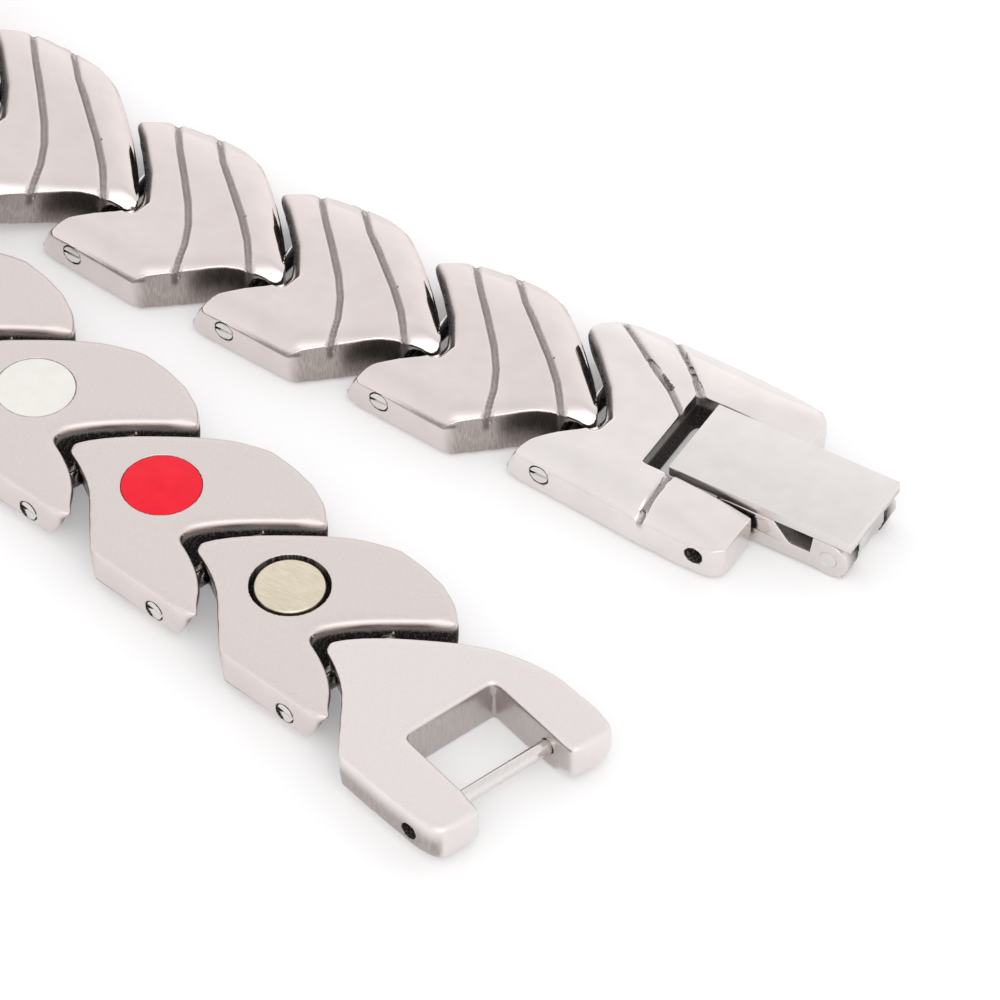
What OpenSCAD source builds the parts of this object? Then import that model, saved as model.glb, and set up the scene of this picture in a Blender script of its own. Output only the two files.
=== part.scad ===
// Power bracelet: an open band of chevron links on hinge pins, with a disc
// set in the back of every link, a fork end with a bar, and a fold-over clasp.
// The clasp end lies on its back, the fork end on its face, both flat on the
// table, and the band between them goes round in a standing loop.
// A link lies in its own frame: x towards its point, y across the band,
// z outwards from the wrist, with its disc centred on the origin.

/* [Band] */
// Number of chevron links between the two end links
n_links = 18; // [18:1:18]
// Distance from one hinge pin to the next
pitch = 11.4; // [11.3:0.05:11.5]
// Thickness of a link at its crown
link_t = 3.2; // [3.1:0.05:3.3]
// Height of the hinge pins above the inner face
pin_z = 1.57; // [1.5:0.01:1.65]
// Hinge pin in the tongue, ahead of the middle of the disc
tongue_pin = 5.15; // [5:0.05:5.3]

/* [Chevron] */
// Gap between a tongue and the next notch at the inner face
gap_inner = 1.5; // [1.3:0.1:1.7]
// The same gap at the outer face
gap_outer = 0.5; // [0.45:0.05:0.7]
// Height of the long edges where the crown starts
edge_h = 2.35; // [2.2:0.05:2.5]
// Width of a V groove across the crown
groove_w = 0.62; // [0.4:0.02:0.8]
// Depth of a V groove
groove_d = 0.32; // [0.2:0.02:0.5]

/* [Disc] */
// Diameter of the socket that holds a disc
socket_d = 5; // [4.8:0.1:5.2]
// Depth of the socket
socket_h = 1; // [0.8:0.1:1.1]
// Diameter of a disc that fills its socket
disc_d = 4.94; // [4.8:0.02:4.96]
// Diameter of the metal disc that leaves a dark ring round it
metal_disc_d = 4.4; // [4.2:0.1:4.6]

/* [Pins] */
// Diameter of a hinge pin
pin_d = 1; // [0.9:0.05:1.1]
// Diameter of its slotted head
head_d = 1.25; // [1.2:0.05:1.4]
// Length of the head
head_h = 0.8; // [0.6:0.1:1]
// Radial room round a pin in the arms of a link
pin_fit = 0.05; // [0.03:0.01:0.08]
// Radial room round a pin in a tongue, which lets the band twist
tongue_play = 0.25; // [0.18:0.01:0.25]

/* [Clasp] */
// Width of the slot between the two prongs
slot_w = 6.7; // [6.6:0.05:6.8]
// Width of the clasp base and cover
clasp_w = 6.1; // [6:0.05:6.15]
// Length of the flat cover
cover_l = 12.65; // [12.5:0.05:12.8]
// Thickness of the cover
cover_t = 0.8; // [0.7:0.05:0.9]
// Height of the cover's top above the inner face
cover_top = 3.42; // [3.4:0.02:3.5]
// Hinge pin of the base to the rivet of the cover
rivet_reach = 7; // [6.9:0.05:7.1]
// Diameter of the rivet
rivet_d = 1.1; // [1:0.05:1.2]

/* [Fork] */
// Width of the slot in the fork end
fork_slot_w = 6.8; // [6.7:0.05:6.9]
// Diameter of the bar across the fork
bar_d = 0.95; // [0.9:0.05:1]

/* [Hidden] */
$fn = 48;
far = 20;
arm_pin = tongue_pin - pitch;

// How the band lies: one row for each hinge, from the clasp end to the fork
// end. A bend curls the band inwards, a turn is its play about the upright.
BEND = 0;
TURN = 1;
HINGES = [
    [0, -1.5], [0, 0.4], [-0.2, -2.4], [-8.7, 0.6],
    [-15.3, 0.8], [-15.1, 0.2], [-13.6, -1.2], [47.3, -3],
    [55.8, -3.4], [56.1, -3.6], [56, -3.5],
    [14.3, -5.5], [3.4, -5.1], [0, 4.9], [0, 5.1],
    [0, 2.6], [0, -0.6], [0, 0.3], [0, -4.9]
];
n_hinges = n_links + 1;
// The hinges of the standing loop, whose pins are one node
FIRST_LOOP_HINGE = 4;
LAST_LOOP_HINGE = 14;
// Middle of the clasp link from the middle of the whole bracelet
CLASP_AT = [42.7311, 11.6278, 0.1321];

// Half outline of a tongue, from its far flank round the point to the near
// corner, through which a smooth curve is drawn
TONGUE = [
    [-2.4, 6.85], [0.1, 5.6], [2.7, 3.35], [5, 0.85], [6.25, -1.1],
    [6.1, -2.05], [4.9, -2.45], [3, -3.35], [1, -5.05], [-0.9, -6.7]
];
NEAR_CORNER = TONGUE[9];
POINT_TIP = 4;
CURVE_STEPS = 3;
// Tips of the two arms and the edges between tips and flanks
NEAR_ARM = [[-8.75, -6.15], [-9.45, -5.5]];
FAR_ARM = [[-9.4, 5], [-8.3, 6], [-6.3, 6.75], [-4.3, 6.95]];
// Outer edge of the near arm's inside wall, which flares away from the tongue
ARM_EDGE = [[-4.4, -2], [-5.3, -2.95], [-6.3, -3.8], [-7.4, -5], [-8.05, -6.35], [-8.3, -8]];
// The two grooves, from the far edge to the near side of the point
GROOVE_1 = [[-7.4, 6.5], [-5.4, 4], [-3.55, 1.95], [-2, 0.2], [-0.9, -1.3], [-0.1, -2.8], [0.85, -5.4]];
GROOVE_2 = [[-4.7, 7.2], [-2.6, 4.75], [-0.55, 2.9], [1.4, 1.2], [2.9, -0.3], [4.8, -2.7]];

// Shoulders, where the crown falls towards an edge: a point on the edge, the
// direction of the edge with the crown on its left, how wide, and how far down
EDGE_AT = 0;
EDGE_TURN = 1;
WIDE = 2;
DROP = 3;
NEAR_SHOULDER = [[-0.9, -6.7], -4.9, 1.8, 0.85];
POINT_SHOULDER = [[-0.9, -6.7], 36.2, 1.7, 0.85];
FLANK_SHOULDER = [[5, 0.85], 136.5, 1.6, 0.65];
FAR_SHOULDER = [[-2.4, 6.85], 186, 4.6, 1.05];
SHOULDER_STEPS = 6;
// How far the side of the point leans in, and the near arm's wall leans out,
// and the direction of the axis that this wall leans about
point_lean = 10;
arm_lean = 23.5;
ARM_LEAN_AXIS = 69;

function two_digits(k) = k < 10 ? str("0", k) : str(k);
function link_name(k) = str("link_", two_digits(k));
function disc_name(k) = str("disc_", two_digits(k));
function pin_name(k) = str("hinge_pin_", two_digits(k + 1));
function in_loop(k) = k >= FIRST_LOOP_HINGE && k <= LAST_LOOP_HINGE;

// Rigid moves as matrices
function move(v) = [[1, 0, 0, v[0]], [0, 1, 0, v[1]], [0, 0, 1, v[2]], [0, 0, 0, 1]];
function turn_z(a) = [[cos(a), -sin(a), 0, 0], [sin(a), cos(a), 0, 0], [0, 0, 1, 0], [0, 0, 0, 1]];
function turn_y(a) = [[cos(a), 0, sin(a), 0], [0, 1, 0, 0], [-sin(a), 0, cos(a), 0], [0, 0, 0, 1]];
function place_of(m) = [m[0][3], m[1][3], m[2][3]];
function next_link(m, hinge) =
    let (pin = m * [arm_pin, 0, pin_z, 1], turned = move(-place_of(m)) * m)
    move(pin) * turn_z(hinge[TURN]) * turned * turn_y(-hinge[BEND]) * move([-tongue_pin, 0, -pin_z]);
// Places of the clasp link, of every link and of the fork link
PLACES = [
    for (k = 0, m = move(CLASP_AT); k <= n_hinges;
        m = k < n_hinges ? next_link(m, HINGES[k]) : m, k = k + 1) m
];

// Smooth curve through points, each stretch in equal steps
function curve_at(a, b, c, d, t) =
    (2 * b + (c - a) * t + (2 * a - 5 * b + 4 * c - d) * t * t + (3 * b - a - 3 * c + d) * t * t * t) / 2;
function smooth(pts) = concat(
    [for (i = [0:len(pts) - 2], s = [0:CURVE_STEPS - 1])
        curve_at(pts[max(i - 1, 0)], pts[i], pts[i + 1], pts[min(i + 2, len(pts) - 1)], s / CURVE_STEPS)],
    [pts[len(pts) - 1]]
);
tongue_curve = smooth(TONGUE);

// The side of the point, carried on past both its ends
point_side = [for (k = [POINT_TIP * CURVE_STEPS + 1 : len(tongue_curve) - 1]) tongue_curve[k]];
side_last = len(point_side) - 1;
SIDE_START = [TONGUE[POINT_TIP][0] + 0.5, TONGUE[POINT_TIP][1] + 1];
SIDE_STOP = NEAR_CORNER + 3 * (point_side[side_last] - point_side[side_last - 1]);
// Tongue's outline, with room outside that side, where a leaning wall cuts it
flank = [for (k = [0 : POINT_TIP * CURVE_STEPS]) tongue_curve[k]];
flank_last = len(flank) - 1;
tongue_outline = concat(flank, [
    flank[flank_last] + 3 * (flank[flank_last] - flank[flank_last - 1]),
    [7.3, -3.8],
    NEAR_CORNER + 0.4 * (NEAR_CORNER - NEAR_ARM[0])
]);

// Height of the crown across a shoulder, from its edge inwards
function shoulder_z(s, t) = link_t - s[DROP] * pow(1 - min(1, t / s[WIDE]), 2.2);

// How far inside a shoulder's edge a point lies
function inside(s, p) =
    (p[1] - s[EDGE_AT][1]) * cos(s[EDGE_TURN]) - (p[0] - s[EDGE_AT][0]) * sin(s[EDGE_TURN]);
function crown(p) = min([for (s = [NEAR_SHOULDER, FLANK_SHOULDER, FAR_SHOULDER])
    shoulder_z(s, max(0, inside(s, p)))]);

// Solid under one shoulder
module under_shoulder(s) {
    steps = [for (k = [0:SHOULDER_STEPS]) s[WIDE] * k / SHOULDER_STEPS];
    low = link_t - s[DROP] - 1.2;
    translate([s[EDGE_AT][0], s[EDGE_AT][1], 0])
        rotate([0, 0, s[EDGE_TURN]])
            rotate([90, 0, 90])
                linear_extrude(4 * far, center = true)
                    polygon(concat(
                        [[-1.5, 0], [-1.5, low]],
                        [for (t = steps) [t, shoulder_z(s, t)]],
                        [[2 * far, link_t], [2 * far, 0]]
                    ));
}

// A point seen along the axis that the arm's wall leans about
function turned_back(p) = [
    p[0] * cos(ARM_LEAN_AXIS) + p[1] * sin(ARM_LEAN_AXIS),
    (p[1] * cos(ARM_LEAN_AXIS) - p[0] * sin(ARM_LEAN_AXIS)) * cos(arm_lean)
];

// The next tongue's outline, moved back with its gap, and leaning so that the
// gap is wide at the inner face and narrow at the outer one
module notch() {
    lean = atan((gap_inner - gap_outer) / link_t);
    shift_x = gap_inner - pitch;
    tip = shift_x + TONGUE[POINT_TIP][0];
    curve = [for (p = tongue_curve) [(p[0] + shift_x - tip) * cos(lean), p[1]]];
    translate([tip, 0, 0])
        rotate([0, -lean, 0])
            translate([0, 0, -2])
                linear_extrude(link_t + 4)
                    polygon(concat([[-far, TONGUE[0][1]]], curve, [[-far, NEAR_CORNER[1]]]));
    flare = [for (p = concat(ARM_EDGE, [[-far, -8], [-far, -2]])) turned_back(p)];
    translate([0, 0, link_t])
        rotate([0, 0, ARM_LEAN_AXIS])
            rotate([arm_lean, 0, 0])
                translate([0, 0, -link_t - 2])
                    linear_extrude(link_t + 3)
                        polygon(flare);
}

// Everything behind the leaning side of the point
module behind_point_side() {
    rotate([-point_lean, 0, 0])
        translate([0, 0, -2])
            linear_extrude(link_t + 4)
                polygon(concat(
                    [[far, SIDE_START[1]]],
                    [for (p = concat([SIDE_START], point_side, [SIDE_STOP]))
                        [p[0], p[1] * cos(point_lean)]],
                    [[SIDE_STOP[0], -far], [-far, -far], [-far, far], [far, far]]
                ));
}

// V groove along points on the crown
module groove(pts) {
    side = groove_w / sqrt(2);
    squash = groove_d / (groove_w / 2);
    for (i = [0:len(pts) - 2]) {
        a = [pts[i][0], pts[i][1], crown(pts[i])];
        b = [pts[i + 1][0], pts[i + 1][1], crown(pts[i + 1])];
        run = b - a;
        flat = norm([run[0], run[1]]);
        translate(a + [0, 0, (1 - squash) * groove_w / 2])
            rotate([0, -atan2(run[2], flat), atan2(run[1], run[0])])
                rotate([45, 0, 0])
                    translate([-0.08, -side / 2, -side / 2])
                        cube([norm(run) + 0.16, side, side]);
    }
}

// Bore for a pin across the arms, with room for its head at the near side
module arm_bore(x, near_y, far_y) {
    translate([x, near_y - 1, pin_z])
        rotate([-90, 0, 0]) {
            cylinder(h = far_y - near_y + 1, d = pin_d + 2 * pin_fit);
            cylinder(h = 1 + head_h + 0.05, d = head_d + 2 * pin_fit);
        }
}

module tongue_bore() {
    translate([tongue_pin, -4, pin_z])
        rotate([-90, 0, 0])
            cylinder(h = 8, d = pin_d + 2 * tongue_play);
}

// Near end of the hinge pins and how far they reach into the far arm
PIN_NEAR = -6.18;
PIN_FAR = 5.9;
END_PIN_NEAR = -6.05;

module chevron() {
    difference() {
        intersection() {
            linear_extrude(link_t + 1)
                polygon(concat(tongue_outline, NEAR_ARM, FAR_ARM));
            under_shoulder(NEAR_SHOULDER);
            under_shoulder(POINT_SHOULDER);
            under_shoulder(FLANK_SHOULDER);
            under_shoulder(FAR_SHOULDER);
            behind_point_side();
        }
        notch();
        groove(GROOVE_1);
        groove(GROOVE_2);
        arm_bore(arm_pin, PIN_NEAR, PIN_FAR + 0.1);
        tongue_bore();
        translate([0, 0, -1])
            cylinder(h = 1 + socket_h, d = socket_d);
    }
}

// Kinds of disc along the band, in turn from the fork end
KIND_COLOURS = ["#DDD3C2", "#E8203A", "#F2F0EC"];
function disc_kind(k) = (n_links - k) % 3;

module disc(kind) {
    d = kind == 0 ? metal_disc_d : disc_d;
    color(KIND_COLOURS[kind])
        translate([0, 0, 0.02])
            cylinder(h = socket_h - 0.03, d = d);
}

// Slotted pin, its head at the near side
module hinge_pin(x, near_y = PIN_NEAR) {
    color("#C9C3C1")
        translate([x, near_y, pin_z])
            rotate([-90, 0, 0])
                difference() {
                    union() {
                        cylinder(h = PIN_FAR - near_y, d = pin_d);
                        cylinder(h = head_h, d = head_d);
                    }
                    translate([-1, -0.14, -0.1])
                        cube([2, 0.28, 0.4]);
                }
}

// Clasp link: the notch and arms of a link, then two prongs with a slot
PRONG_END = 7;
SLOT_BACK = -0.7;
CLASP_LINK_NEAR = [[6.3, -7.15], [4.5, -7.2], [1, -7], [-3.5, -6.5], [-8.7, -6.05], [-9.3, -5.55]];
CLASP_LINK_FAR = [
    [-9.4, 5.35], [-8.8, 6.4], [-6.8, 7.2], [-4.5, 7.4],
    [-0.9, 7.35], [2, 7.25], [4.6, 7], [6.3, 6.6]
];
CLASP_GROOVE_1 = [[-7.6, 6.6], [-4.7, 4.4], [-2.25, 2.8], [0.2, 0.7]];
CLASP_GROOVE_2 = [[-4.7, 7.6], [-2, 5], [0.3, 2.6]];
CLASP_GROOVE_NEAR = [[1.3, -2.9], [1.25, -7.6]];
CLASP_NEAR_SHOULDER = [[1, -7], -5, 1.9, 0.9];
CLASP_FAR_SHOULDER = [[2, 7.25], 177.5, 3.6, 1.1];

// Solid under a crown that falls away towards the prong ends
module under_end_crown(from, to, drop) {
    xs = [for (s = [0:0.2:1]) s];
    rotate([90, 0, 0])
        linear_extrude(2 * far, center = true)
            polygon(concat(
                [[-far, 0], [-far, link_t], [from, link_t]],
                [for (s = xs) [from + s * (to - from), link_t - drop * s * s]],
                [[to + 2, link_t - drop], [to + 2, 0]]
            ));
}

module clasp_link() {
    color("#D9D1CF")
        difference() {
            intersection() {
                linear_extrude(link_t + 1)
                    polygon(concat(
                        CLASP_LINK_NEAR, CLASP_LINK_FAR,
                        [[PRONG_END, 5.9], [PRONG_END, -6.5]]
                    ));
                under_shoulder(CLASP_NEAR_SHOULDER);
                under_shoulder(CLASP_FAR_SHOULDER);
                under_end_crown(0.5, PRONG_END, 0.75);
            }
            notch();
            translate([SLOT_BACK, -slot_w / 2, -1])
                cube([far, slot_w, link_t + 2]);
            groove(CLASP_GROOVE_1);
            groove(CLASP_GROOVE_2);
            groove(CLASP_GROOVE_NEAR);
            arm_bore(arm_pin, END_PIN_NEAR, PIN_FAR + 0.1);
            translate([tongue_pin, -8, pin_z])
                rotate([-90, 0, 0])
                    cylinder(h = 14, d = pin_d + 2 * pin_fit);
        }
}

// Fork link: the tongue of a link, then two arms with a slot and a bar
FORK_BACK = -2.3;
FORK_END = -9.7;
FORK_SLOT_Y = 0.7;
BAR_AT = -7.2;
FORK_NEAR_SHOULDER = [[-0.9, -6.7], -2, 1.8, 0.85];
FORK_FAR_SHOULDER = [[-2.4, 6.85], 175, 3, 0.8];
FORK_NEAR = [[-5, -6.55], [-9, -6.2], [FORK_END, -5.6]];
FORK_FAR = [[FORK_END, 7], [-9.2, 7.55], [-6.5, 7.5], [-4.2, 7.35]];

module fork_link() {
    color("#D9D1CF")
        difference() {
            intersection() {
                linear_extrude(link_t + 1)
                    polygon(concat(tongue_outline, FORK_NEAR, FORK_FAR));
                under_shoulder(FORK_NEAR_SHOULDER);
                under_shoulder(FORK_FAR_SHOULDER);
                behind_point_side();
                mirror([1, 0, 0])
                    under_end_crown(4, -FORK_END, 0.5);
            }
            translate([FORK_BACK - far, FORK_SLOT_Y - fork_slot_w / 2, -1])
                cube([far, fork_slot_w, link_t + 2]);
            tongue_bore();
            translate([BAR_AT, -8, pin_z])
                rotate([-90, 0, 0])
                    cylinder(h = 8 + BAR_END + 0.05, d = bar_d + 2 * pin_fit);
        }
}

// Bar across the fork, which the clasp closes over
BAR_START = -5.6;
BAR_END = 6.5;

module fork_bar() {
    color("#E8E6E5")
        translate([BAR_AT, BAR_START, pin_z])
            rotate([-90, 0, 0])
                cylinder(h = BAR_END - BAR_START, d = bar_d);
}

// Clasp base: a channel on the prong pin, notched for the bar
base_bottom = 0.12;
base_top = cover_top - cover_t - 0.04;
barrel_r = (base_top - base_bottom) / 2;
rivet_x = tongue_pin + rivet_reach;
rivet_z = 1.26;
wall_in = 1.62;
round_r = base_top - rivet_z;
NOTCH_TOP = [8.3, 11.04];
NOTCH_FOOT = [9.45, 10.85];
NOTCH_Z = 1.2;
LUG_ROOM = 1.5;

module rivet_axis(h, d) {
    translate([rivet_x, -h / 2, rivet_z])
        rotate([-90, 0, 0])
            cylinder(h = h, d = d);
}

module clasp_base() {
    color("#DAD6D5")
        difference() {
            union() {
                translate([tongue_pin, -clasp_w / 2, base_bottom])
                    cube([rivet_reach, clasp_w, base_top - base_bottom]);
                translate([tongue_pin, -clasp_w / 2, base_bottom + barrel_r])
                    rotate([-90, 0, 0])
                        cylinder(h = clasp_w, r = barrel_r);
                rivet_axis(clasp_w, 2 * round_r);
                translate([rivet_x, -clasp_w / 2, base_bottom])
                    cube([round_r - 0.35, clasp_w, rivet_z - base_bottom]);
            }
            translate([tongue_pin + 1.7, -wall_in, 0.95])
                cube([far, 2 * wall_in, far]);
            translate([rivet_x - LUG_ROOM, -wall_in, -1])
                cube([far, 2 * wall_in, far]);
            translate([0, clasp_w, 0])
                rotate([90, 0, 0])
                    linear_extrude(2 * clasp_w)
                        polygon([
                            [NOTCH_TOP[0], base_top + 1], [NOTCH_TOP[0], base_top],
                            [NOTCH_FOOT[0], NOTCH_Z], [NOTCH_FOOT[1], NOTCH_Z],
                            [NOTCH_TOP[1], base_top], [NOTCH_TOP[1], base_top + 1]
                        ]);
            translate([tongue_pin, -clasp_w, pin_z])
                rotate([-90, 0, 0])
                    cylinder(h = 2 * clasp_w, d = pin_d + 2 * pin_fit);
            rivet_axis(2 * clasp_w, rivet_d);
        }
}

// Clasp cover: a flat lever with a lug that turns on the rivet
module clasp_cover() {
    lug_w = 2 * wall_in - 0.24;
    color("#E3DEDD")
        difference() {
            union() {
                translate([rivet_x + round_r + 0.2 - cover_l, -clasp_w / 2, cover_top - cover_t])
                    cube([cover_l, clasp_w, cover_t]);
                rivet_axis(lug_w, 2 * round_r - 0.14);
                translate([rivet_x - 1, -lug_w / 2, rivet_z])
                    cube([round_r + 1, lug_w, cover_top - 0.1 - rivet_z]);
            }
            rivet_axis(2 * clasp_w, rivet_d + 0.1);
        }
}

module cover_rivet() {
    color("#D2CCCA")
        rivet_axis(clasp_w - 0.04, rivet_d);
}

// Pin that holds the clasp base between the prongs
CLASP_PIN_NEAR = -5.9;

module clasp_pin() {
    color("#C9C3C1")
        translate([tongue_pin, CLASP_PIN_NEAR, pin_z])
            rotate([-90, 0, 0])
                cylinder(h = 5.8 - CLASP_PIN_NEAR, d = pin_d);
}

module shown(name) {
    children();
}

module at(k) {
    multmatrix(PLACES[k]) children();
}

shown("clasp_link") at(0) clasp_link();
for (k = [1:n_links]) shown(link_name(k)) at(k) color("#D9D1CF") chevron();
shown("fork_link") at(n_hinges) fork_link();
shown("fork_bar") at(n_hinges) fork_bar();
for (k = [1:n_links]) shown(disc_name(k)) at(k) disc(disc_kind(k));
for (k = [0:n_hinges - 1])
    shown(in_loop(k) ? "loop_hinge_pins" : pin_name(k))
        at(k) hinge_pin(arm_pin, k == 0 ? END_PIN_NEAR : PIN_NEAR);
shown("clasp_base") at(0) clasp_base();
shown("clasp_cover") at(0) clasp_cover();
shown("clasp_pin") at(0) clasp_pin();
shown("cover_rivet") at(0) cover_rivet();
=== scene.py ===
from math import cos, radians, sin

import bpy
import numpy as np
from mathutils import Matrix, Vector

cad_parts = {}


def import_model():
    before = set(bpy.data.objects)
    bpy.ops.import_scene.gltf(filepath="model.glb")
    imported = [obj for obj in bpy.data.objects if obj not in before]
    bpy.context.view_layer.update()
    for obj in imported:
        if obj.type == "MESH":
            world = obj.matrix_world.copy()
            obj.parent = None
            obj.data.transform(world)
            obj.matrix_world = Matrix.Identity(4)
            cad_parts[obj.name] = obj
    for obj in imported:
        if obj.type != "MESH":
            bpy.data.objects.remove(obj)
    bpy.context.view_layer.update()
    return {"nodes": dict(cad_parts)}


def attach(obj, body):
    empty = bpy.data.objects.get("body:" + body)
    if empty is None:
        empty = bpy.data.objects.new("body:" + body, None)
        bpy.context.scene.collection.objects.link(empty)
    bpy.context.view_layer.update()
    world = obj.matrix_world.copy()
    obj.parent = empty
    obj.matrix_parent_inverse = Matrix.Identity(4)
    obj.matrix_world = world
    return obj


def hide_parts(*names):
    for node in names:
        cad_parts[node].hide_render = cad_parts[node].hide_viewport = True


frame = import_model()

MM = 0.001

# From hinge to hinge, a link's own hinge in its frame, and the number of links
PITCH = 11.4
TONGUE_PIN = 5.15
PIN_Z = 1.57
N_LINKS = 18
# How the band lies, as in the part: one row for each hinge, bend and turn in degrees
HINGES = [
    (0, -1.5), (0, 0.4), (-0.2, -2.4), (-8.7, 0.6),
    (-15.3, 0.8), (-15.1, 0.2), (-13.6, -1.2), (47.3, -3),
    (55.8, -3.4), (56.1, -3.6), (56, -3.5),
    (14.3, -5.5), (3.4, -5.1), (0, 4.9), (0, 5.1),
    (0, 2.6), (0, -0.6), (0, 0.3), (0, -4.9),
]
# Place of the clasp link, where the chain of hinges starts
CLASP_AT = (42.7311, 11.6278, 0.1321)

# Links that the camera sees get the fine mesh, and the others the coarse one
NEAR_LINKS = (1, 2, 3, 4, 15, 16, 17, 18)
FINE_MESH = 0.13
COARSE_MESH = 0.25

# The camera, found from the photograph, in millimetres from the clasp link
CAM_TARGET = (-8.01, -7.86, 0)
CAM_HEADING = (-0.5158, 0.8567)
CAM_DOWN = 46.85
CAM_DIST = 507.13
CAM_PX_PER_MM = 16.43
CAM_SENSOR = 36
IMAGE = 1000

# Direction, tightness and strength of the soft lamps that the steel mirrors
SOFT_LAMPS = [((0.42, -0.46, 0.78), 14, 1.1)]
# The softbox overhead: its place and aim in metres from the clasp link, its size and power
LAMP_FROM = Vector((0.2, -0.24, 0.5))
LAMP_TO = Vector((-0.01, -0.01, 0))
LAMP_SIZE = 0.34
LAMP_POWER = 0.3
# Colour of the studio by the sine of the height above the horizon
SKY = [(0.0, (1.2, 1.185, 1.18, 1)), (0.35, (1.13, 1.12, 1.115, 1)),
       (0.7, (1.04, 1.03, 1.03, 1)), (1.0, (0.96, 0.96, 0.96, 1))]


def sc(h):
    """Linear colour of an sRGB hex value."""
    v = [int(h[i:i + 2], 16) / 255 for i in (1, 3, 5)]
    return tuple(c / 12.92 if c <= 0.04045 else ((c + 0.055) / 1.055) ** 2.4 for c in v) + (1,)


def places():
    """Places of the clasp link, of every link and of the fork link, in millimetres."""
    m = Matrix.Translation(CLASP_AT)
    out = [m]
    for bend, turn in HINGES:
        pin = m @ Vector((TONGUE_PIN - PITCH, 0, PIN_Z))
        turned = Matrix.Rotation(radians(turn), 4, "Z") @ m.to_3x3().to_4x4()
        bent = turned @ Matrix.Rotation(radians(-bend), 4, "Y")
        m = Matrix.Translation(pin) @ bent @ Matrix.Translation((-TONGUE_PIN, 0, -PIN_Z))
        out.append(m)
    return out


PLACES = places()


# Selecting and shaping

def off():
    if bpy.context.object and bpy.context.object.mode != "OBJECT":
        bpy.ops.object.mode_set(mode="OBJECT")
    bpy.ops.object.select_all(action="DESELECT")


def only(o):
    off()
    o.select_set(True)
    bpy.context.view_layer.objects.active = o


def scrap(o):
    only(o)
    bpy.ops.object.delete()


def apply(o, kind, **values):
    """Adds a modifier with its values and applies it."""
    only(o)
    m = o.modifiers.new(kind, kind)
    for k, v in values.items():
        setattr(m, k, v)
    bpy.ops.object.modifier_apply(modifier=m.name)


def merged(node, name):
    """A worked copy of a CAD node, with its doubles merged."""
    o = bpy.data.objects.new(name, frame["nodes"][node].data.copy())
    bpy.context.scene.collection.objects.link(o)
    o.data.materials.clear()
    only(o)
    bpy.ops.object.mode_set(mode="EDIT")
    bpy.ops.mesh.select_all(action="SELECT")
    bpy.ops.mesh.remove_doubles(threshold=0.004 * MM)
    bpy.ops.object.mode_set(mode="OBJECT")
    return o


def copied(o, name):
    c = bpy.data.objects.new(name, o.data.copy())
    bpy.context.scene.collection.objects.link(c)
    return c


def coords(o):
    v = np.empty(len(o.data.vertices) * 3)
    o.data.vertices.foreach_get("co", v)
    return v.reshape(-1, 3)


def set_coords(o, v):
    o.data.vertices.foreach_set("co", np.ascontiguousarray(v, dtype=float).ravel())
    o.data.update()


def normals(o):
    n = np.empty(len(o.data.vertices) * 3)
    o.data.vertices.foreach_get("normal", n)
    return n.reshape(-1, 3)


def moved(v, m):
    a = np.array(m)
    return v @ a[:3, :3].T + a[:3, 3]


def to_local(o, place):
    """Vertices of a piece in millimetres, in the frame of its link."""
    set_coords(o, moved(coords(o) / MM, place.inverted()))


def to_band(o, place):
    """Vertices of a piece back in metres, where its link lies in the band."""
    set_coords(o, moved(coords(o), place) * MM)


def smooth(o, angle):
    only(o)
    bpy.ops.object.shade_smooth_by_angle(angle=radians(angle))


def put(o, node, body, material):
    """Gives a piece its material, attaches it to its body and hides the node it stands for."""
    o.data.materials.clear()
    o.data.materials.append(material)
    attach(o, body)
    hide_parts(node)


# Materials

def new_material(name):
    m = bpy.data.materials.new(name)
    m.use_nodes = True
    m.node_tree.nodes.clear()
    return m


def add(m, kind, ins=None, stops=(), **values):
    """Adds a node to a material or world, with its settings, links and colour stops."""
    n = m.node_tree.nodes.new("ShaderNode" + kind)
    for k, v in values.items():
        setattr(n, k, v)
    for k, v in (ins or {}).items():
        if isinstance(v, bpy.types.NodeSocket):
            m.node_tree.links.new(v, n.inputs[k])
        else:
            n.inputs[k].default_value = v
    if stops:
        e = n.color_ramp.elements
        while len(e) < len(stops):
            e.new(0.5)
        for i, (at, colour) in enumerate(stops):
            e[i].position = at
            e[i].color = sc(colour) if isinstance(colour, str) else colour
    return n


# Patterns of the cast steel, counted per millimetre: clouds of 2 mm, grit of 0.14 mm,
# a satin grain of 0.3 by 0.07 mm, and brush marks 0.09 mm wide and 1.1 mm long
CLOUDS = 0.5
GRITS = 7.0
GRAINS = 1.6
GRAIN_STRETCH = (2.2, 9.0, 9.0)
GRAIN_TURN = (0, 0, 0.5)
BRUSH_MARKS = 1.0
BRUSH_STRETCH = (11.0, 11.0, 0.9)
# Colours of the brushed walls, darkened as painted shade between the links, and of the near-black painted
# shade in cuts and gaps, by the marks and the grit
BRUSHED_AND_SHADED_TONES = [(0.3, "#766C68"), (0.7, "#B3A9A5")]
PAINTED_SHADE_TONES = [(0.35, "#0B0706"), (0.6, "#241B18"), (0.85, "#6A5C54")]


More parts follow.
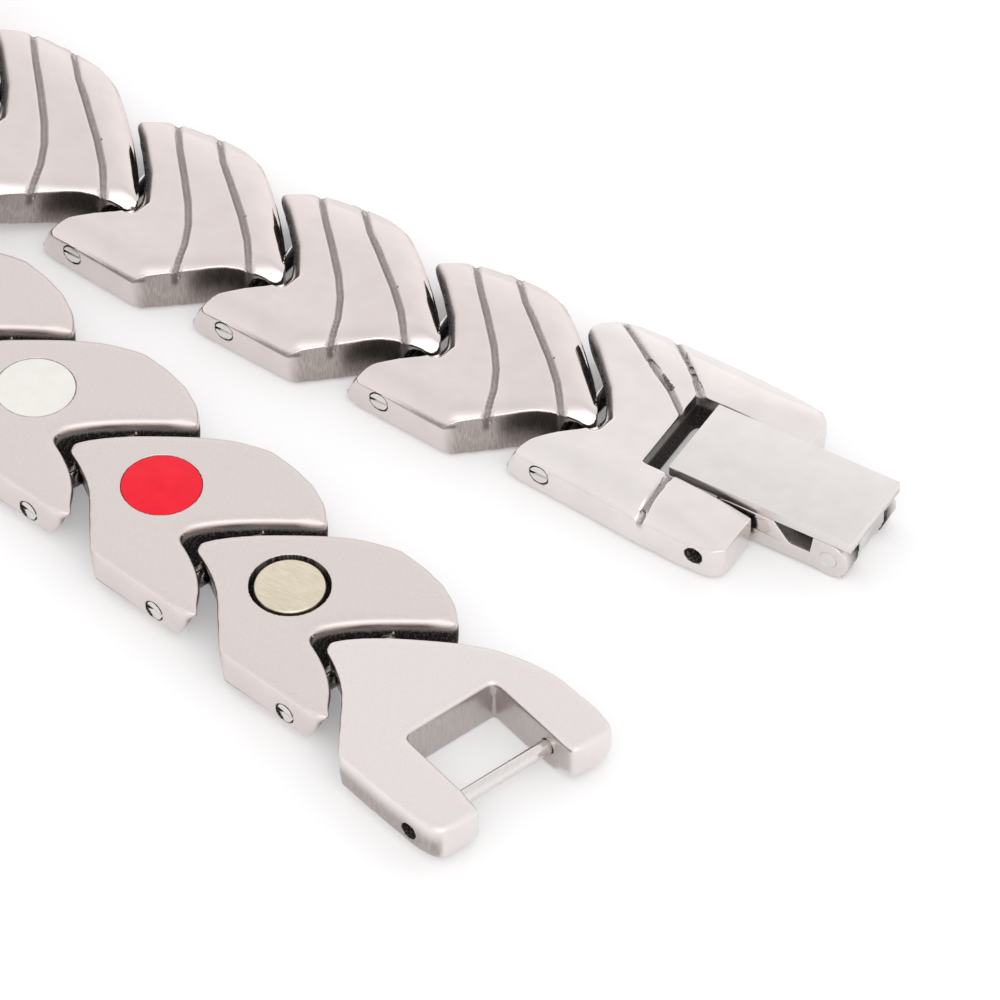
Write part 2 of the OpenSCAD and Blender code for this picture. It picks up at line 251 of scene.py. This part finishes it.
def cast_steel(name, clean, satin):
    """Cast stainless steel: polished outside, which mirrors the studio, satin inside, which
    blurs it, with brush marks in streaks where two links face each other and a darker tone
    painted there as shade, and near-black painted shade in the cuts."""
    m = new_material(name)
    look = add(m, "Attribute", attribute_name="look").outputs["Color"]
    parts = add(m, "SeparateColor", {"Color": look}).outputs
    is_dark, is_satin, is_brushed_and_shaded = parts["Red"], parts["Green"], parts["Blue"]
    here = add(m, "Attribute", attribute_name="local").outputs["Vector"]
    cloud = add(m, "TexNoise", {"Vector": here, "Scale": CLOUDS, "Detail": 3.0,
                                "Roughness": 0.5}).outputs["Fac"]
    grit = add(m, "TexNoise", {"Vector": here, "Scale": GRITS, "Detail": 6.0,
                               "Roughness": 0.8}).outputs["Fac"]
    along = add(m, "Mapping", {"Vector": here, "Rotation": GRAIN_TURN, "Scale": GRAIN_STRETCH})
    grain = add(m, "TexNoise", {"Vector": along.outputs["Vector"], "Scale": GRAINS, "Detail": 7.0,
                                "Roughness": 0.75}).outputs["Fac"]
    upright = add(m, "Mapping", {"Vector": here, "Scale": BRUSH_STRETCH})
    marks = add(m, "TexNoise", {"Vector": upright.outputs["Vector"], "Scale": BRUSH_MARKS, "Detail": 5.0,
                                "Roughness": 0.7}).outputs["Fac"]
    # The grit breaks the painted shade up
    uneven = add(m, "Math", {0: grit, 1: 1.6, 2: 0.2}, operation="MULTIPLY_ADD").outputs[0]
    painted_shade = add(m, "Math", {0: is_dark, 1: uneven}, operation="MULTIPLY", use_clamp=True).outputs[0]
    colour = add(m, "ValToRGB", {"Fac": cloud}, [(0.3, clean[0]), (0.7, clean[1])]).outputs["Color"]
    finishes = (
        (is_satin, grain, [(0.3, satin[0]), (0.7, satin[1])]),
        (is_brushed_and_shaded, marks, BRUSHED_AND_SHADED_TONES),
        (painted_shade, grit, PAINTED_SHADE_TONES),
    )
    for where, pattern, stops in finishes:
        tone = add(m, "ValToRGB", {"Fac": pattern}, stops).outputs["Color"]
        colour = add(m, "Mix", {0: where, 6: colour, 7: tone}, data_type="RGBA").outputs[2]
    rough = 0.085
    for where, more in ((is_satin, 0.3), (is_brushed_and_shaded, 0.2), (painted_shade, 0.4), (cloud, 0.03)):
        rough = add(m, "Math", {0: where, 1: more, 2: rough}, operation="MULTIPLY_ADD").outputs[0]
    height = 0.0
    for where, pattern, depth in ((is_satin, grain, 0.3), (is_brushed_and_shaded, marks, 0.6), (painted_shade, grit, 1.5)):
        relief = add(m, "Math", {0: where, 1: pattern}, operation="MULTIPLY").outputs[0]
        height = add(m, "Math", {0: relief, 1: depth, 2: height}, operation="MULTIPLY_ADD").outputs[0]
    bump = add(m, "Bump", {"Strength": 0.5, "Distance": 0.03 * MM, "Height": height})
    metallic = add(m, "Math", {0: painted_shade, 1: -0.5, 2: 1.0}, operation="MULTIPLY_ADD").outputs[0]
    shine = add(m, "Math", {0: painted_shade, 1: -0.35, 2: 0.5}, operation="MULTIPLY_ADD").outputs[0]
    s = add(m, "BsdfPrincipled", {"Base Color": colour, "Metallic": metallic, "Roughness": rough,
                                  "Specular IOR Level": shine, "Normal": bump.outputs["Normal"]})
    add(m, "OutputMaterial", {"Surface": s.outputs["BSDF"]})
    return m


def grained_metal(name, low, high, rough, per_mm, stretch, bump):
    """Ground metal: a fine grain in one direction, which draws the reflections out."""
    m = new_material(name)
    tex = add(m, "TexCoord").outputs["Object"]
    at = add(m, "Mapping", {"Vector": tex, "Scale": stretch}).outputs["Vector"]
    grain = add(m, "TexNoise", {"Vector": at, "Scale": per_mm / MM, "Detail": 5.0,
                                "Roughness": 0.6}).outputs["Fac"]
    colour = add(m, "ValToRGB", {"Fac": grain}, [(0.25, low), (0.75, high)]).outputs["Color"]
    uneven = add(m, "Math", {0: grain, 1: 0.12, 2: rough - 0.06}, operation="MULTIPLY_ADD").outputs[0]
    relief = add(m, "Bump", {"Strength": bump, "Distance": 0.02 * MM, "Height": grain})
    s = add(m, "BsdfPrincipled", {"Base Color": colour, "Metallic": 1.0, "Roughness": uneven,
                                  "Normal": relief.outputs["Normal"]})
    add(m, "OutputMaterial", {"Surface": s.outputs["BSDF"]})
    return m


def smooth_inlay(name, low, high, rough, under, shine):
    """Filled and polished disc: even and glossy, with a faint cloud of 1.1 mm in its colour."""
    m = new_material(name)
    tex = add(m, "TexCoord").outputs["Object"]
    cloud = add(m, "TexNoise", {"Vector": tex, "Scale": 0.9 / MM, "Detail": 3.0}).outputs["Fac"]
    colour = add(m, "ValToRGB", {"Fac": cloud}, [(0.3, low), (0.7, high)]).outputs["Color"]
    s = add(m, "BsdfPrincipled", {"Base Color": colour, "Roughness": rough, "Specular IOR Level": shine,
                                  "Subsurface Weight": under, "Subsurface Scale": 0.8 * MM})
    add(m, "OutputMaterial", {"Surface": s.outputs["BSDF"]})
    return m


# Cast stainless steel, polished on its crown: a light grey with faint warm clouds
STEEL = cast_steel("stainless_link_steel", ("#DAD0CE", "#E0D7D4"), ("#D2C9C6", "#E1D8D5"))
# The same steel polished longer: the two ends look brighter than the links
END_STEEL = cast_steel("bright_end_link_steel", ("#E3DCDA", "#E9E3E1"), ("#DCD4D3", "#EAE3E1"))
# Rolled stainless steel with a satin finish: one even soft tone, with lines of 0.12 mm
SATIN = grained_metal("satin_cover_steel", "#DDD8D6", "#E5E1DF", 0.3, 0.7, (1, 1, 12), 0.1)
# Turned and polished stainless steel: sharp small lights, with faint lines of 0.08 mm
PIN_STEEL = grained_metal("polished_pin_steel", "#D6D1CF", "#E4E0DE", 0.14, 1.5, (8, 1, 8), 0.03)
# Glazed white ceramic: an even off-white with a soft gloss and a little light under its skin
WHITE = smooth_inlay("white_ceramic_disc", "#DAD8D2", "#E0DED9", 0.18, 0.1, 0.5)
# Cast resin, polished: a deep even red under a clear gloss
RED = smooth_inlay("red_resin_disc", "#DC0420", "#E60C2A", 0.12, 0.0, 0.3)
# Brushed metal plated in a warm tone: a pale gold, whose lines of 0.14 mm spread the light
CHAMPAGNE = grained_metal("champagne_metal_disc", "#CFC4AF", "#E6DCC9", 0.34, 1.4, (1, 5, 1), 0.25)


# Shapes of the links, all in millimetres of a link's own frame

# Outline of a tongue from its far flank round the point, and the grooves, as in the part
TONGUE = [(-2.4, 6.85), (0.1, 5.6), (2.7, 3.35), (5, 0.85), (6.25, -1.1),
          (6.1, -2.05), (4.9, -2.45), (3, -3.35), (1, -5.05), (-0.9, -6.7)]
FLANK = TONGUE[:5]
POINT_SIDE = TONGUE[5:]
# The same outline moved back to the notch: along its upper rim and along its walls
NOTCH_RIM = [(x - PITCH + 0.5, y) for x, y in TONGUE[:6]]
NOTCH_WALL = [(x - PITCH + 1.0, y) for x, y in TONGUE]
# Long near edge of a link's crown, seen from its end: across and up
NEAR_EDGE = [(-6.7, 2.36), (-6.1, 2.33)]
GROOVE_1 = [(-7.4, 6.5), (-5.4, 4), (-3.55, 1.95), (-2, 0.2), (-0.9, -1.3), (-0.1, -2.8), (0.85, -5.4)]
GROOVE_2 = [(-4.7, 7.2), (-2.6, 4.75), (-0.55, 2.9), (1.4, 1.2), (2.9, -0.3), (4.8, -2.7)]
CLASP_GROOVES = [
    [(-7.6, 6.6), (-4.7, 4.4), (-2.25, 2.8), (0.2, 0.7)],
    [(-4.7, 7.6), (-2, 5), (0.3, 2.6)],
    [(1.3, -2.9), (1.25, -7.6)],
]
LINK_T = 3.2
# Shoulders of the crown: a point on the edge, the edge's turn, width and drop
SHOULDERS = [((-0.9, -6.7), -4.9, 1.8, 0.85), ((-0.9, -6.7), 36.2, 1.9, 0.9),
             ((5, 0.85), 136.5, 1.9, 0.75), ((-2.4, 6.85), 186, 4.6, 1.1)]
CLASP_SHOULDERS = [((1, -7), -5, 2.3, 1.0), ((2, 7.25), 177.5, 3.6, 1.15)]
FORK_SHOULDERS = [((-0.9, -6.7), -2, 1.8, 0.85), ((-2.4, 6.85), 175, 3, 0.8)]
# The prongs fall away from here to there, by so much
PRONG_FALL = (0.5, 7, 0.8)
# Holes: an end point, the axis, length and radius
HEAD_HOLE = ((-6.25, -8, PIN_Z), "y", 2.75, 0.7)
SOCKET_HOLE = ((0, 0, -1), "z", 2, 2.5)
CLASP_HOLES = [((-6.25, -8, PIN_Z), "y", 2.85, 0.7), ((5.15, -8, PIN_Z), "y", 2.5, 0.6)]
FORK_HOLES = [((-7.2, -8, PIN_Z), "y", 2.4, 0.56)]
# One end, middle and half width of the slots
CLASP_SLOT = (-0.7, 0, 3.35)
FORK_SLOT = (-2.2, 0.7, 3.4)
# How many rounds of smoothing the edges get at the fine mesh
EDGE_ROUNDS = 60
TIP_ROUNDS = 90
RIM_ROUNDS = 12
GROOVE_DEPTH = 0.3
RIM_DEPTH = 0.45
# How far the crown may lie above the solid's facets, and how much further beside its grooves
CROWN_LIFT = 0.07
GROOVE_LIFT = 0.4
# Angle up to which the faces of a link are shaded as one
LINK_SHADE = 50


def ease(v, lo, hi):
    """Soft step: 0 up to one value, 1 from another on."""
    t = np.clip((v - lo) / (hi - lo), 0, 1)
    return t * t * (3 - 2 * t)


def line_distance(p, line):
    """Distance from every point to a line of points, all in one plane."""
    best = np.full(len(p), 99.0)
    for a, b in zip(line[:-1], line[1:]):
        a, b = np.array(a), np.array(b)
        d = b - a
        t = np.clip(((p - a) @ d) / (d @ d), 0, 1)
        best = np.minimum(best, np.linalg.norm(p - a - t[:, None] * d, axis=1))
    return best


def beside(v, line, near, far):
    """1 within a near distance of a line in plan, 0 past a far one."""
    return 1 - ease(line_distance(v[:, :2], line), near, far)


def round_hole(v, hole, near, far):
    """0 within a near distance of the rim of a hole across the link, 1 past a far one."""
    (x, _, z), _, _, r = hole
    return ease(np.hypot(v[:, 0] - x, v[:, 2] - z), r + near, r + far)


def crown(v, shoulders, fall):
    """Smooth height of the polished crown over every point."""
    x, y = v[:, 0], v[:, 1]
    total = np.zeros(len(v))
    for (ex, ey), turn, wide, drop in shoulders:
        s, c = sin(radians(turn)), cos(radians(turn))
        inside = (y - ey) * c - (x - ex) * s
        total += (drop * (1 - np.clip(inside / wide, 0, 1)) ** 2.2) ** 3
    if fall:
        start, stop, drop = fall
        total += (drop * np.clip((x - start) / (stop - start), 0, 1) ** 2) ** 3
    return LINK_T - total ** (1 / 3)


def soften(o, weight, rounds):
    """Rounds edges by smoothing, as far as the weights say."""
    g = o.vertex_groups.new(name="soft")
    for level in range(1, 11):
        pick = np.nonzero(np.round(weight * 10) == level)[0]
        if len(pick):
            g.add(pick.tolist(), level / 10, "REPLACE")
    apply(o, "SMOOTH", factor=0.5, iterations=int(rounds), vertex_group="soft")
    o.vertex_groups.clear()


def drill(o, holes):
    """Cuts clean round holes. A failed cut loses most of the piece, so it is made again, a
    little wider or with the other solver."""
    for at, axis, length, r in holes:
        whole = o.data.copy()
        for solver, more in (("EXACT", 0), ("FAST", 0.003), ("EXACT", 0.008), ("FAST", 0.012)):
            bpy.ops.object.select_all(action="DESELECT")
            bpy.ops.mesh.primitive_cylinder_add(vertices=72, radius=r + more, depth=length)
            c = bpy.context.object
            v = coords(c)
            v[:, 2] += length / 2
            if axis == "y":
                v = v[:, [0, 2, 1]] * [1, 1, -1]
            set_coords(c, v + np.array(at))
            apply(o, "BOOLEAN", object=c, operation="DIFFERENCE", solver=solver)
            scrap(c)
            if len(o.data.vertices) > 0.9 * len(whole.vertices):
                break
            o.data = whole.copy()


def shape_link(o, mesh, grooves, shoulders, holes, fall=None, notch=True, socket=True):
    """Remeshes a link in its own frame, rounds its edges, smooths its crown and cuts its holes."""
    only(o)
    o.data.remesh_voxel_size = mesh
    o.data.remesh_voxel_adaptivity = 0
    bpy.ops.object.voxel_remesh()
    apply(o, "SMOOTH", factor=0.5, iterations=3)
    share = (FINE_MESH / mesh) ** 2
    v = coords(o)
    x, y, z = v.T
    keep = ease(np.hypot(x, y), 2.7, 3.4) if socket else np.ones(len(v))
    for hole in holes:
        if hole[1] == "y":
            keep = keep * round_hole(v, hole, 0.1, 0.35)
    # The lower edges all round, and then the tips of the arms once more
    soften(o, np.maximum(1 - ease(z, 0.9, 1.3), 0.9 * ease(-x, 7.6, 8.6)) * keep, EDGE_ROUNDS * share)
    soften(o, keep * ease(-x, 7.7, 8.7), TIP_ROUNDS * share)
    v = coords(o)
    rim = beside(v, NOTCH_RIM, 0.25, 0.8) if notch else np.zeros(len(v))
    soften(o, ease(v[:, 2], 1.9, 2.3) * np.maximum(rim, 0.35), RIM_ROUNDS * share)
    v, n = coords(o), normals(o)
    z = v[:, 2]
    cut, around = np.zeros(len(v)), np.zeros(len(v))
    for g in grooves:
        cut = np.maximum(cut, beside(v, g, 0.02, 0.33))
        around = np.maximum(around, beside(v, g, 0.35, 0.7))
    top = ease(n[:, 2], 0.35, 0.7) * ease(z, 1.6, 1.9)
    want = crown(v, shoulders, fall) - GROOVE_DEPTH * cut - RIM_DEPTH * rim ** 2
    want = np.minimum(want, z + CROWN_LIFT + GROOVE_LIFT * around)
    v[:, 2] = z + (want - z) * top
    set_coords(o, v)
    drill(o, holes)


def set_look(o, v, dark, satin, brushed_and_shaded):
    """Writes the finish, with its painted shade, and the place of every vertex, for the steel's nodes."""
    a = o.data.attributes.new("look", "FLOAT_COLOR", "POINT")
    a.data.foreach_set("color", np.column_stack([dark, satin, brushed_and_shaded, np.ones(len(v))]).ravel())
    a = o.data.attributes.new("local", "FLOAT_VECTOR", "POINT")
    a.data.foreach_set("vector", np.ascontiguousarray(v).ravel())


def finish_link(o, grooves, holes, notch=True, tongue=True, socket=True):
    """Works out where a link gets painted shade, satin, and brush marks with a darker painted-shade tone,
    by place and by how its faces tilt.
    """
    v, n = coords(o), normals(o)
    x, y, z = v.T
    up = n[:, 2]
    outer = ease(z, 1.6, 2.0) * ease(up, 0.1, 0.4)
    inner = ease(-up, 0.35, 0.7)
    wall = 1 - ease(np.abs(up), 0.35, 0.75)
    dark, brushed_and_shaded, flank = np.zeros(len(v)), np.zeros(len(v)), np.zeros(len(v))
    # The grooves get painted shade along their floor
    for g in grooves:
        dark = np.maximum(dark, beside(v, g, 0.08, 0.3) * ease(z, 1.6, 2.1) * 0.55)
    # Painted shade on the notch walls and along the notch rim, where the gap to the next link lies
    if notch:
        in_notch = beside(v, NOTCH_WALL, 0.75, 1.25) * ease(-x, 1.5, 3)
        dark = np.maximum(dark, wall * in_notch * ease(z, 0.35, 0.9))
        rim = beside(v, NOTCH_RIM, 0.2, 0.75) * ease(z, 1.5, 2.0) * ease(y, -1.5, 0.2)
        dark = np.maximum(dark, rim * 0.97)
    # The walls of the point side, which face the next link, get brush marks and a darker painted-shade
    # tone
    if tongue:
        brushed_and_shaded = 0.8 * wall * beside(v, POINT_SIDE, 0.5, 1.0) * ease(x, -1.5, -0.5)
        flank = wall * beside(v, FLANK, 0.3, 0.7)
    # Painted shade at the foot of the socket, in the ring round the disc
    if socket:
        inside = 1 - ease(np.hypot(x, y), 2.56, 2.6)
        dark = np.maximum(dark, inside * (1 - ease(z, 1.1, 1.3)) * ease(z, 0.02, 0.1))
    # Painted shade inside the pin holes
    for hole in holes:
        if hole[1] == "y":
            dark = np.maximum(dark, (1 - round_hole(v, hole, 0, 0.02)) * (1 - ease(y, -4, -3)))
    if not tongue:
        # The clasp link's slot gets painted shade below, and brush marks with a darker painted-shade tone
        # above
        end, middle, half = CLASP_SLOT
        slot = wall * ease(x, end - 0.15, end) * (1 - ease(np.abs(y - middle), half, half + 0.15))
        dark = np.maximum(dark, slot * (1 - ease(z, 2.1, 2.5)) * 0.9)
        brushed_and_shaded = 0.8 * slot
    if not notch:
        # The fork's near wall gets brush marks with a darker painted-shade tone, less so towards its foot,
        # and its slot is half brushed the same way
        near = 0.8 * (1 - ease(y, -5.9, -5.5)) * ease(z, 0.2, 1.5)
        end, middle, half = FORK_SLOT
        slot = (1 - ease(x, end, end + 0.2)) * (1 - ease(np.abs(y - middle), half, half + 0.2))
        brushed_and_shaded = np.maximum(brushed_and_shaded, wall * np.maximum(near, 0.55 * slot))
    if notch and tongue:
        # A thin painted dark reflection lies along the near edge and gets darker towards its corner
        line = 1 - ease(line_distance(v[:, 1:], NEAR_EDGE), 0.05, 0.22)
        dark = np.maximum(dark, 0.6 * line * ease(x, -6.5, -1.5) * (1 - ease(x, -0.9, -0.5)))
    satin = np.maximum(np.maximum(inner, flank), (1 - outer) * wall * 0.2)
    set_look(o, v, dark, satin, brushed_and_shaded)
    smooth(o, LINK_SHADE)


# The chevron links and the two end links

def link_pattern(mesh, name):
    """One chevron link in its own frame, to be copied along the band."""
    o = merged("link_01", name)
    to_local(o, PLACES[1])
    holes = (HEAD_HOLE, SOCKET_HOLE)
    shape_link(o, mesh, (GROOVE_1, GROOVE_2), SHOULDERS, holes)
    finish_link(o, (GROOVE_1, GROOVE_2), holes)
    return o


NEAR_MESH = FINE_MESH
fine = link_pattern(NEAR_MESH, "link_pattern_fine")
coarse = link_pattern(COARSE_MESH, "link_pattern_coarse")
for k in range(1, N_LINKS + 1):
    o = copied(fine if k in NEAR_LINKS else coarse, "chevron_link_%02d" % k)
    to_band(o, PLACES[k])
    put(o, "link_%02d" % k, "band", STEEL)
scrap(fine)
scrap(coarse)

o = merged("clasp_link", "clasp_end_link")
to_local(o, PLACES[0])
shape_link(o, NEAR_MESH, CLASP_GROOVES, CLASP_SHOULDERS, CLASP_HOLES, fall=PRONG_FALL, socket=False)
finish_link(o, CLASP_GROOVES, CLASP_HOLES, tongue=False, socket=False)
to_band(o, PLACES[0])
put(o, "clasp_link", "band", END_STEEL)

o = merged("fork_link", "fork_end_link")
to_local(o, PLACES[-1])
shape_link(o, NEAR_MESH, (), FORK_SHOULDERS, FORK_HOLES, notch=False, socket=False)
finish_link(o, (), FORK_HOLES, notch=False, socket=False)
to_band(o, PLACES[-1])
put(o, "fork_link", "band", END_STEEL)


# Discs, pins and clasp

# Angle past which an edge is rounded, and up to which faces are shaded as one
SHARP = 35
SHADE = 40
# A disc's thickness, and its gap to the inner face
DISC_T = 0.97
DISC_GAP = 0.02
# Each kind of disc with its material, slot, diameter and edge
DISC_KINDS = (
    ("champagne", CHAMPAGNE, "champagne_disc", 4.4, 0.22),
    ("red", RED, "red_disc", 4.94, 0.05),
    ("white", WHITE, "white_disc", 4.94, 0.05),
)
SINGLE_PINS = list(range(1, 5)) + list(range(16, 20))
# The heads come out to the wall: past this line, by so much, and more in the clasp link
HEAD_LINE = -5.95
HEAD_OUT = 0.125
CLASP_HEAD_OUT = 0.19


def inlay(k, word, material, slot, diameter, edge):
    """A round disc with a soft edge, in the socket of a link."""
    bpy.ops.object.select_all(action="DESELECT")
    bpy.ops.mesh.primitive_cylinder_add(vertices=96, radius=diameter / 2, depth=DISC_T)
    o = bpy.context.object
    o.name = "%s_inlay_%02d" % (word, k)
    set_coords(o, coords(o) + [0, 0, DISC_GAP + DISC_T / 2])
    apply(o, "BEVEL", width=edge, segments=4, limit_method="ANGLE", angle_limit=radians(SHARP))
    to_band(o, PLACES[k])
    smooth(o, SHADE)
    put(o, "disc_%02d" % k, "band", material)


def rounded(node, name, body, material, edge, segments):
    """A worked copy of a small CAD piece with rounded edges."""
    o = merged(node, name)
    apply(o, "BEVEL", width=edge * MM, segments=segments, limit_method="ANGLE",
          angle_limit=radians(SHARP), use_clamp_overlap=True)
    smooth(o, SHADE)
    put(o, node, body, material)
    return o


for k in range(1, N_LINKS + 1):
    inlay(k, *DISC_KINDS[(N_LINKS - k) % 3])

for k in SINGLE_PINS:
    o = rounded("hinge_pin_%02d" % k, "slotted_pin_%02d" % k, "band", PIN_STEEL, 0.03, 2)
    to_local(o, PLACES[k - 1])
    v = coords(o)
    v[:, 1] -= np.where(v[:, 1] < HEAD_LINE, CLASP_HEAD_OUT if k == 1 else HEAD_OUT, 0)
    set_coords(o, v)
    to_band(o, PLACES[k - 1])
rounded("loop_hinge_pins", "slotted_pins_of_the_loop", "band", PIN_STEEL, 0.05, 1)
rounded("clasp_pin", "prong_pin", "band", PIN_STEEL, 0.06, 2)
rounded("fork_bar", "polished_fork_bar", "band", PIN_STEEL, 0.06, 2)

# The clasp base is clean outside and gets painted shade inside its channel
o = rounded("clasp_base", "clasp_lever_base", "clasp_lever", END_STEEL, 0.07, 2)
v = moved(coords(o) / MM, PLACES[0].inverted())
set_look(o, v, ease(3 - np.abs(v[:, 1]), 0.1, 1.1), np.full(len(v), 0.2), np.full(len(v), 0.15))
rounded("clasp_cover", "clasp_lever_cover", "clasp_lid", SATIN, 0.09, 3)
rounded("cover_rivet", "cover_rivet_head", "clasp_lever", PIN_STEEL, 0.06, 2)


# Floor, light and camera

def stage():
    """Matt white table with a little light of its own, so that it stays pale."""
    off()
    bpy.ops.mesh.primitive_plane_add(size=6, location=(0, 0, 0))
    floor = bpy.context.object
    floor.name = "studio_floor"
    m = new_material("studio_white")
    s = add(m, "BsdfPrincipled", {"Base Color": sc("#DDDDDD"), "Roughness": 0.9, "Specular IOR Level": 0.1,
                                  "Emission Color": (1, 1, 1, 1), "Emission Strength": 0.2})
    add(m, "OutputMaterial", {"Surface": s.outputs["BSDF"]})
    floor.data.materials.append(m)


def softbox(at, to):
    """A large soft lamp that the steel doesn't mirror."""
    d = bpy.data.lights.new("overhead_softbox", "AREA")
    d.shape = "RECTANGLE"
    d.size = d.size_y = LAMP_SIZE
    d.energy = LAMP_POWER
    o = bpy.data.objects.new("overhead_softbox", d)
    bpy.context.scene.collection.objects.link(o)
    o.location = at
    o.rotation_euler = (to - at).to_track_quat("-Z", "Y").to_euler()
    o.visible_glossy = False


def world():
    """Soft studio round the bracelet, bright low down, with soft lamps that the steel mirrors."""
    w = bpy.data.worlds.new("studio")
    bpy.context.scene.world = w
    w.use_nodes = True
    w.node_tree.nodes.clear()
    way = add(w, "TexCoord").outputs["Generated"]
    up = add(w, "SeparateXYZ", {0: way}).outputs["Z"]
    sky = add(w, "ValToRGB", {"Fac": up}, SKY).outputs["Color"]
    strength = 1.0
    for toward, tight, power in SOFT_LAMPS:
        facing = add(w, "VectorMath", {0: way, 1: Vector(toward).normalized()}, operation="DOT_PRODUCT")
        front = add(w, "Math", {0: facing.outputs["Value"], 1: 0.0}, operation="MAXIMUM").outputs[0]
        lobe = add(w, "Math", {0: front, 1: tight}, operation="POWER").outputs[0]
        strength = add(w, "Math", {0: lobe, 1: power, 2: strength}, operation="MULTIPLY_ADD").outputs[0]
    b = add(w, "Background", {"Color": sky, "Strength": strength})
    add(w, "OutputWorld", {"Surface": b.outputs[0]})


def camera(target):
    """Camera at the photograph's angle and distance, without depth of field."""
    h = Vector(CAM_HEADING).normalized()
    down = radians(CAM_DOWN)
    look = Vector((h.x * cos(down), h.y * cos(down), -sin(down)))
    d = bpy.data.cameras.new("photo_camera")
    d.sensor_width = CAM_SENSOR
    d.lens = CAM_SENSOR * CAM_PX_PER_MM * CAM_DIST / IMAGE
    d.clip_start = 0.01
    d.clip_end = 20
    o = bpy.data.objects.new("photo_camera", d)
    bpy.context.scene.collection.objects.link(o)
    o.location = target - look * CAM_DIST * MM
    o.rotation_euler = look.to_track_quat("-Z", "Y").to_euler()
    bpy.context.scene.camera = o


base = Vector(CLASP_AT) * MM
stage()
world()
softbox(base + LAMP_FROM, base + LAMP_TO)
target = base + Vector(CAM_TARGET) * MM
target.z = 0
camera(target)
bpy.context.scene.view_settings.view_transform = "Standard"

off()
